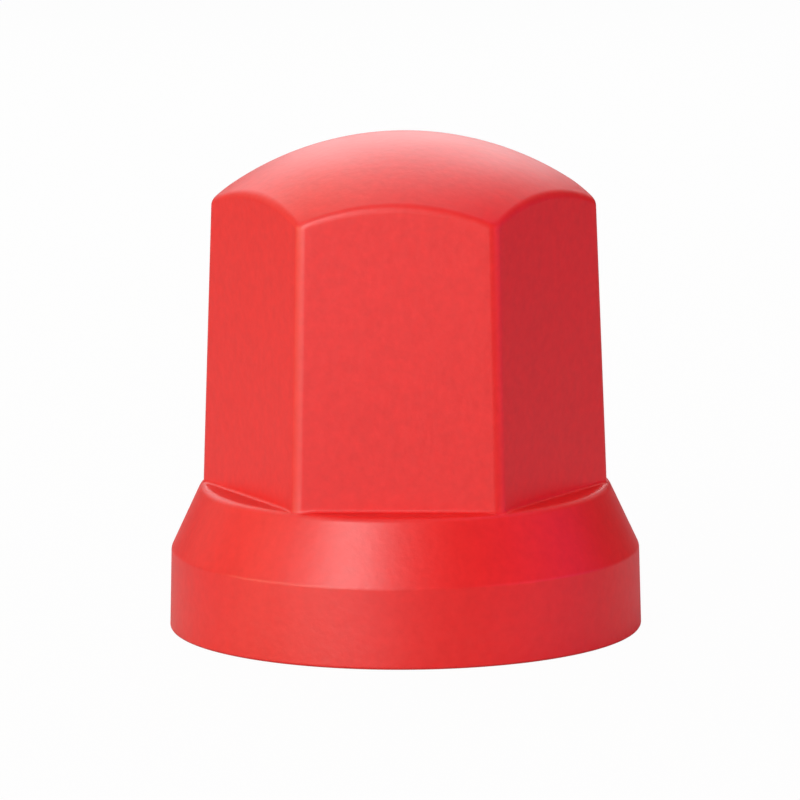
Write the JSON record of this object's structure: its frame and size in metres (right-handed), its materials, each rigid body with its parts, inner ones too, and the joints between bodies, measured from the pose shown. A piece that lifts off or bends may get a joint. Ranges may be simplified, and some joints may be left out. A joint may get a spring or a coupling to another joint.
{
  "type": "wheel nut cover cap",
  "caption": "Moulded plastic cap that grips a hexagon wheel nut and hides it, its stud end and its washer, with a domed hexagon on a conical skirt.",
  "frame": {"origin": "centre of the open rim's face, which stands against the wheel", "axes": "+Z along the cap's axis towards the dome; two corners of the hexagon point along +X and -X, so two flats face +Y and -Y"},
  "size_m": [0.05, 0.05, 0.0526],
  "materials": {
    "red_plastic": "satin, as moulded"
  },
  "bodies": {
    "root": {"cover_cap": "red_plastic"}
  },
  "joints": []
}
